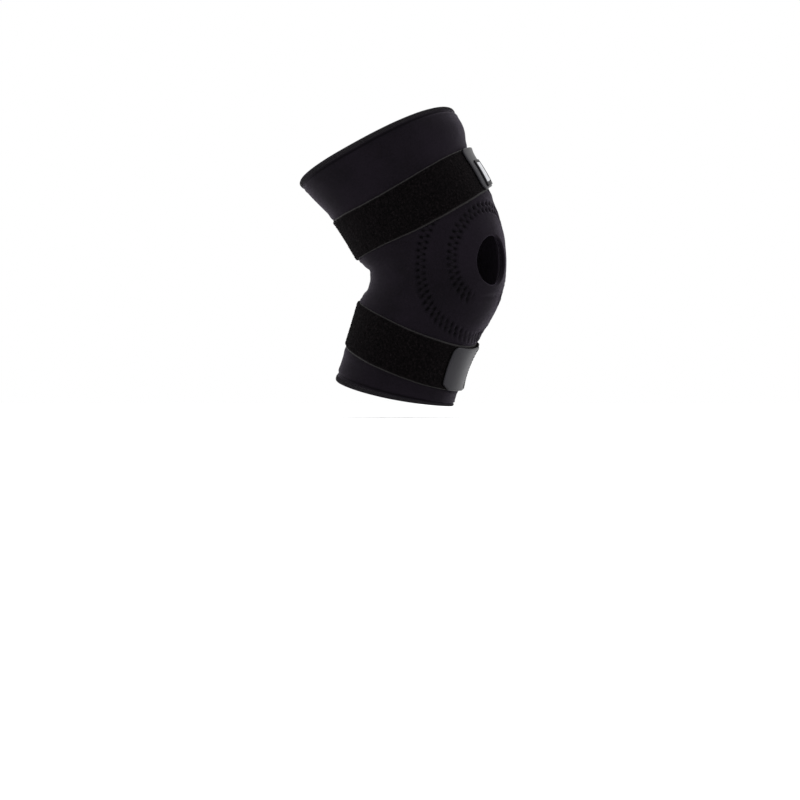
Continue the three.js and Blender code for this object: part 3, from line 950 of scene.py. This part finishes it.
def make_anchor_stitching(strap, turn):
    """The close zigzag that sews the strap down across its start."""
    knots = 61
    steps, at, out = zigzag(knots, 21 * np.linspace(-1, 1, knots), 1 + 2.2 * (np.arange(knots) % 2))
    p, n, _, _ = leg_frame(strap_line(strap, turn) + at, turn + out / degree_at(strap, turn))
    lift = STRAP_TOP - 0.05 + 0.25 * np.abs(np.sin(np.pi * steps))
    path = p + n * (lift + strap_press_on(p))[:, None]
    thread = tubes(strap["name"] + "_anchor_thread", [path], 0.3, sides=6)
    bends(finish_piece(thread, EDGE_THREAD, [strap["name"] + "_anchor_stitching"]))


def corner_loss(is_cut, size, left):
    """How much a corner takes off the tab's half width at a distance from its free end."""
    into = np.clip(size - left, 0, size)
    return into * 0.8 if is_cut else size - np.sqrt(size ** 2 - into ** 2)


def tab_edges(strap, turns, degree, inset=0.0):
    """The tab's lower and upper edges, as distances from its middle."""
    above, below, is_cut = strap["corners"]
    left = np.clip((strap["tab"] - turns) * degree - inset, 0, None)
    half = strap["tab_width"] / 2 - inset
    return corner_loss(is_cut, below, left) - half, half - corner_loss(False, above, left)


def tab_line(strap, turn):
    """The middle line of the tab, which sits a little off the strap's."""
    return strap_line(strap, turn) + strap["tab_shift"]


def tab_strip(name, strap, rows, degree, inset, under, height, material):
    """A strip with the tab's outline. height takes the distance in from the nearest edge."""
    turns = tab_turns(strap, degree, inset)
    low, high = tab_edges(strap, turns, degree, inset)
    # The rows lie closer together towards both edges.
    quarter = np.pi / 2 * 0.97
    t = (np.sin(np.linspace(-1, 1, rows) * quarter) / math.sin(quarter) / 2 + 0.5)[:, None]
    turn = np.broadcast_to(turns, (rows, len(turns)))
    at = tab_line(strap, turn) + low * (1 - t) + high * t
    from_side = np.minimum(t, 1 - t) * (high - low)
    from_end = (strap["tab"] - turn) * degree - inset
    edge = np.clip(np.minimum(from_side, from_end), 0, None)
    p, n, _, _ = leg_frame(at, turn)
    press = strap_press_on(p)
    upper = p + n * (height(edge) + press)[..., None]
    lower = p + n * (under + press)[..., None]
    return finish_piece(closed_strip(name, upper, lower, np.stack([turn * degree, at], -1)), material)


def tab_turns(strap, degree, inset):
    """Turns along the tab, closer together towards its free end."""
    first, last = strap["tab"] - STRAP["tab_length"], strap["tab"] - inset / degree
    near_end = last - 3 + 3 * np.sin(np.linspace(0.08, 1, 16) * np.pi / 2)
    return np.concatenate([strap_turns(first, last - 3, 0.5), near_end])


# One hook's points: how far each hangs below the tape, and how far it leans.
HOOK_DROP = np.array([0.05, -0.3, -0.42, -0.32])
HOOK_LEAN = np.array([0, 0, 0.22, 0.42])


def make_hooks(strap, degree):
    """The hooks of the hook tape, small bent pins that face the strap below."""
    first, last = strap["tab"] - STRAP["tab_length"] + 2, strap["tab"] - 5 / degree
    half = strap["tab_width"] / 2 - 5
    paths = []
    for row, turn in enumerate(np.arange(first, last, 1.5 / degree)):
        odd = row % 2
        for across in np.arange(0.7 * odd - half, half, 1.4):
            p, n, up, _ = leg_frame(np.full(4, tab_line(strap, turn) + across), np.full(4, turn))
            hang = n * (HOOK_UNDER + HOOK_DROP + strap_press_on(p))[:, None]
            paths.append(p + hang + unit(up) * ((2 * odd - 1) * HOOK_LEAN)[:, None])
    return finish_piece(tubes(strap["name"] + "_hooks", paths, 0.12, sides=4), HOOKS)


def make_strap_end(strap):
    """The tail, hook tape and tab at the strap's free end. The hook tape, hooks, tab and its stitches go with
    the end's body; the tail's layers are fixed in place.
    """
    name, end = strap["name"], strap["end"]
    root = strap["tab"] - STRAP["overlap"]
    tab_root = strap["tab"] - STRAP["tab_length"]
    degree = degree_at(strap, strap["tab"] - 10)

    def under(turns):
        return TAIL_ROOT + (TAIL_UNDER - TAIL_ROOT) * smooth(root, root + 9.5, turns)

    def above(rise):
        return lambda turns: under(turns) + rise

    first, last = root - STRAP["hinge"] + 0.8, tab_root + 4
    turns, half = strap_turns(first, last, 0.6), STRAP["width"] / 2
    web = strap_layer(name + "_tail_webbing", strap, turns, half, under, above(0.7),
                      9, WEBBING, edge_round=0.3)
    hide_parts(name + "_strap_tail")
    half -= SELVEDGE
    pile = strap_layer(name + "_tail_plush", strap, turns, half, above(0.55), above(1.6),
                       70, PLUSH, edge_round=0.9, relief=0.28)
    fibres = make_pile_fibres(name + "_tail_fibres", strap, first + 0.5, tab_root, half - 0.8,
                              above(1.6), 420)

    hook = tab_strip(name + "_hook_backing", strap, 41, degree, 2.5, HOOK_UNDER,
                     lambda edge: np.full(edge.shape, TAB_UNDER + 0.05), HOOKS)
    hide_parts(name + "_hook_tape")
    tab = tab_strip(name + "_pull_tab", strap, 81, degree, 0.0, TAB_UNDER, tab_height, TAB_GREY)
    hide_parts(name + "_tab")
    for piece in (hook, tab, make_hooks(strap, degree), make_tab_stitching(strap, degree)):
        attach(piece, end)
    there = shell(strap_line(strap, root + 8), root + 8, 2.0) * MM
    for piece in (web, pile, fibres):
        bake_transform(piece)


def tab_height(edge):
    """A moulded slab: rolled edge, a shallow step all round and a barely crowned middle."""
    rolled = -1.2 * (1 - np.sqrt(np.clip(1 - (1 - np.clip(edge / 1.2, 0, 1)) ** 2, 0, 1)))
    return TAB_TOP - 0.25 + rolled + 0.14 * smooth(2.0, 2.5, edge) + 0.11 * smooth(2.5, 16, edge)


def make_tab_stitching(strap, degree):
    """Two rows of stitches that hold the tab to the end of the tail."""
    half = strap["tab_width"] / 2 - 3.5
    t = np.linspace(0, 1, 7)
    lift = TAB_TOP - 0.14 + 0.2 * np.sin(np.pi * t) ** 0.5
    paths = []
    for inward in (2.4, 4.8):
        turn = strap["tab"] - STRAP["tab_length"] + inward / degree
        for across in np.arange(-half, half, 2.9):
            p, n, _, _ = leg_frame(tab_line(strap, turn) + across + 2.3 * t, np.full(7, turn))
            paths.append(p + n * (lift + strap_press_on(p))[:, None])
    return finish_piece(tubes(strap["name"] + "_tab_stitches", paths, 0.2, sides=6), EDGE_THREAD)


for strap in (UPPER, LOWER):
    make_strap_loop(strap)
    make_strap_end(strap)


# ------------------------------------------------------------------ the upper tab's blank plate

# The frame's length and width, and where its middle is from the tab's middle.
BADGE = dict(length=22, width=28, along=9, across=-8.5)


def on_tab(along, across, off):
    """A place on the upper tab, in millimetres along it and across it from its middle."""
    middle = UPPER["tab"] - STRAP["tab_length"] / 2
    turn = middle + (along + BADGE["along"]) / degree_at(UPPER, middle)
    at = strap_line(UPPER, turn) + across + BADGE["across"]
    p, n, _, _ = leg_frame(at, turn)
    return p + n * (TAB_TOP - 0.1 + off + strap_press_on(p))[..., None]


def round_rectangle(length, width, radius, inset):
    """An outline with the same number of points at each inset."""
    radius = max(radius - inset, 0.15)
    arcs = []
    for x, y, start in ((1, 1, 0), (-1, 1, 90), (-1, -1, 180), (1, -1, 270)):
        centre = np.array([x * (length / 2 - inset - radius), y * (width / 2 - inset - radius)])
        angle = np.radians(start + np.linspace(0, 90, 7))
        arcs.append(centre + radius * np.stack([np.cos(angle), np.sin(angle)], -1))
    corners = np.concatenate(arcs)
    points = []
    for k, (a, b) in enumerate(zip(corners, np.roll(corners, -1, 0))):
        is_side = k % 7 == 6
        points.extend(a + (b - a) * t for t in (np.arange(14) / 14 if is_side else (0,)))
    return np.array(points)


def badge_loops(radius, profile):
    """One loop of points on the tab for each (inset, height) of a profile."""
    length, width = BADGE["length"], BADGE["width"]
    return np.array([on_tab(*round_rectangle(length, width, radius, inset).T, off) for inset, off in profile])


FRAME_PROFILE = ((0, 0), (0, 0.85), (0.12, 1.08), (0.4, 1.25), (2.5, 1.25), (2.9, 1.1), (3.1, 0.8), (3.1, 0))
PLATE_PROFILE = ((3.4, 0), (3.4, 0.55), (3.6, 0.75), (4.1, 0.88), (5.2, 0.95), (6.7, 0.99), (8.5, 1.02),
                 (10.3, 1.03))


def make_badge():
    """The black frame on the upper tab, and the bright plate in it."""
    loops = badge_loops(2.2, FRAME_PROFILE)
    rows, count = loops.shape[:2]
    faces = grid_faces(rows + 1, count, wrapped=True) % (rows * count)
    rim = make_mesh("badge_surround", loops.reshape(-1, 3), faces, np.zeros((rows * count, 2)))
    finish_piece(rim, TAB_BLACK, ["badge_frame"])

    loops = badge_loops(2.4, PLATE_PROFILE)
    rows, count = loops.shape[:2]
    faces = grid_faces(rows, count, wrapped=True).tolist()
    faces.append(list(range(count - 1, -1, -1)))
    faces.append(list(range((rows - 1) * count, rows * count)))
    plate = make_mesh("badge_face", loops.reshape(-1, 3), faces, np.zeros((rows * count, 2)))
    finish_piece(plate, METAL, ["badge_plate"])
    for piece in (rim, plate):
        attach(piece, UPPER["end"])


make_badge()


# ------------------------------------------------------------------ inside the sleeve

LINING = SLEEVE_THICKNESS + 0.35


def vertex_places(mesh):
    places = np.empty(len(mesh.vertices) * 3)
    mesh.vertices.foreach_get("co", places)
    return places.reshape(-1, 3)


def swell(obj, held, pressure, most):
    """Cloth simulation fills a padded piece out; no point goes further than `most` millimetres."""
    start = vertex_places(obj.data)
    group = obj.vertex_groups.new(name="held")
    group.add(np.flatnonzero(held).tolist(), 1.0, "REPLACE")
    cloth = obj.modifiers.new("swell", "CLOTH")
    settings = dict(quality=6, mass=0.2, tension_stiffness=25, bending_stiffness=1.5,
                    vertex_group_mass="held", use_pressure=True, uniform_pressure_force=pressure)
    for key, value in settings.items():
        setattr(cloth.settings, key, value)
    cloth.settings.effector_weights.gravity = 0
    frames = 16
    cloth.point_cache.frame_start, cloth.point_cache.frame_end = 1, frames
    scene = bpy.context.scene
    for number in range(1, frames + 1):
        scene.frame_set(number)
    move = vertex_places(obj.evaluated_get(bpy.context.evaluated_depsgraph_get()).data) - start
    obj.modifiers.remove(cloth)
    obj.vertex_groups.clear()
    scene.frame_set(1)
    far = np.linalg.norm(move, axis=1, keepdims=True)
    move *= np.minimum(1, most * MM / np.maximum(far, 1e-9))
    obj.data.vertices.foreach_set("co", (start + move).ravel())
    obj.data.update()


def make_buttress():
    """The padded ring round the kneecap: foam under a knit cover, sewn to the sleeve along both its edges."""
    angles, around, thick = 168, 26, 3.2
    angle = 2 * np.pi * np.arange(angles) / angles
    section = 2 * np.pi * np.arange(around) / around
    across = 0.5 - 0.5 * np.sign(np.cos(section)) * np.abs(np.cos(section)) ** 0.7
    depth = 0.5 - 0.5 * np.sign(np.sin(section)) * np.abs(np.sin(section)) ** 0.6
    near = dict(rise=HOLE["up"] + 3.2, side=HOLE["side"] + 3.2, turn=HOLE["turn"], at=HOLE["at"])
    far = dict(rise=INNER_SEAM["up"] - 4.2, side=INNER_SEAM["side"] - 4.2, turn=INNER_SEAM["turn"],
               at=INNER_SEAM["at"])
    mix = {key: near[key] + (far[key] - near[key]) * across[:, None] for key in near}
    at = mix["at"] + mix["rise"] * np.sin(angle)[None]
    turn = mix["turn"] + mix["side"] * np.cos(angle)[None]
    off = inner_relief(at, turn) - LINING - 0.4 - thick * depth[:, None]
    points = shell(at, turn, off).reshape(-1, 3)
    faces = grid_faces(around + 1, angles, wrapped=True) % len(points)
    uv = np.stack(np.broadcast_arrays(at, turn * 1.1), -1).reshape(-1, 2)
    pad = make_mesh("kneecap_pad", points, faces, uv)
    finish_piece(pad, PAD_COVER, ["patella_buttress"])
    sewn = (depth < 0.5)[:, None] | (np.abs(across - 0.5) > 0.44)[:, None]
    swell(pad, np.broadcast_to(sewn, at.shape).ravel(), 5.0, 1.6)
    bends(pad)


def make_seam_tape():
    """The tape over the closing seam, inside, and its two rows of stitches."""
    rows, per_degree = 150, 1.12
    half = 9.0 / per_degree
    levels = np.linspace(RIM["bottom"]["at"] + 5, RIM["top"]["at"] - 5, rows)
    turn = np.broadcast_to(CLOSING_TURN + half * np.linspace(-1, 1, 9), (rows, 9))
    at = np.broadcast_to(levels[:, None], turn.shape)
    top = inner_relief(at, turn) - LINING + 0.1
    uv = np.stack([turn * per_degree, at], -1)
    tape = closed_strip("closing_seam_tape", shell(at, turn, top), shell(at, turn, top - 0.7), uv)
    finish_piece(tape, WEBBING, ["thigh_seam_tape", "knee_seam_tape", "calf_seam_tape"])
    bends(tape)
    t = np.linspace(0, 1, 6)
    paths = []
    for side in (-0.78, 0.78):
        for start in np.arange(levels[0] + 2, levels[-1] - 4, 3.4):
            here, there = start + 2.7 * t, np.full(6, CLOSING_TURN + side * half)
            lift = inner_relief(here, there) - LINING - 0.55 - 0.3 * np.sin(np.pi * t) ** 0.5
            paths.append(shell(here, there, lift))
    bends(finish_piece(tubes("seam_tape_stitches", paths, 0.22, sides=6), EDGE_THREAD))


def make_closing_thread():
    """The flat zigzag that shows outside along the closing seam."""
    sway = 1.75
    levels = np.arange(RIM["bottom"]["at"] + 6, RIM["top"]["at"] - 6, 1.7)
    knots = len(levels)
    _, at, side = zigzag(knots, levels, np.where(np.arange(knots) % 2, sway, -sway))
    turn = CLOSING_TURN + side
    p, n, _, _ = leg_frame(at, turn)
    relief, _ = sleeve_relief(at, turn, p)
    dive = 0.3 * (np.abs(side) / sway) ** 4
    path = p + n * (relief + 0.3 - dive)[:, None]
    bends(finish_piece(tubes("closing_zigzag_thread", [path], 0.3, sides=6), EDGE_THREAD))


PAD_COVER = neoprene_material("pad_cover", (0.016, 0.014, 0.018), sheen=0.15)
make_buttress()
make_seam_tape()
make_closing_thread()


# ------------------------------------------------------------------ camera, floor and light

VIEW_AZIMUTH = math.radians(18)
VIEW_DISTANCE = 4.5
VIEW_ACROSS = 0.824  # metres across the picture at the knee
PICTURE = 800
KNEE_IN_PICTURE = (431.2, 270)
SENSOR = 36
FLOOR_HALF = 14
FLOOR_GAP = 0.012  # how far below the brace's lowest point the floor is


def add_camera():
    back = Vector((math.sin(VIEW_AZIMUTH), -math.cos(VIEW_AZIMUTH), 0))
    right = Vector((math.cos(VIEW_AZIMUTH), math.sin(VIEW_AZIMUTH), 0))
    pixel = VIEW_ACROSS / PICTURE
    across, down = (pixel * (place - PICTURE / 2) for place in KNEE_IN_PICTURE)
    camera = place_object("camera", bpy.data.cameras.new("camera"))
    camera.data.sensor_width = SENSOR
    camera.data.lens = SENSOR * VIEW_DISTANCE / VIEW_ACROSS
    camera.data.clip_end = 50
    camera.location = back * VIEW_DISTANCE - right * across + Vector((0, 0, down))
    camera.rotation_mode = "QUATERNION"
    camera.rotation_quaternion = (-back).to_track_quat("-Z", "Y")
    bpy.context.scene.camera = camera


def add_light(name, source, strength, spread, colour=(1, 1, 1)):
    """A broad soft light that shines from a direction, spread over an angle in degrees."""
    data = bpy.data.lights.new(name, "SUN")
    data.energy = strength
    data.angle = math.radians(spread)
    data.color = colour
    light = place_object(name, data)
    light.rotation_mode = "QUATERNION"
    light.rotation_quaternion = (-Vector(source)).to_track_quat("-Z", "Y")


def add_floor():
    paint = Paint("pale_floor")
    tone = paint.noise(paint.object_place(), 3, 2)
    material = paint.surface({
        "Base Color": paint.ramp(tone, (0, (0.955, 0.955, 0.955)), (1, (0.975, 0.975, 0.975))),
        "Roughness": 1,
        "Specular IOR Level": 0,
    })
    z = CAD_BOX[0].z - FLOOR_GAP
    mesh = bpy.data.meshes.new("floor")
    sides = ((-1, -1), (1, -1), (1, 1), (-1, 1))
    mesh.from_pydata([(FLOOR_HALF * x, FLOOR_HALF * y, z) for x, y in sides], [], [(0, 1, 2, 3)])
    mesh.materials.append(material)
    place_object("floor", mesh)


def add_world():
    world = bpy.data.worlds.new("studio")
    bpy.context.scene.world = world
    world.use_nodes = True
    background = world.node_tree.nodes["Background"]
    background.inputs["Color"].default_value = (1.0, 1.0, 1.0, 1)
    background.inputs["Strength"].default_value = 1.0


add_camera()
add_floor()
add_world()
add_light("front_window", (2.2, -0.1, 0.8), 0.9, 50, (0.95, 0.97, 1.0))
add_light("back_window", (-1.9, -0.2, 0.9), 0.6, 50, (0.97, 0.97, 1.0))
add_light("overhead", (0.2, 0.3, 2.0), 0.5, 80)

bpy.context.scene.view_settings.view_transform = "Standard"
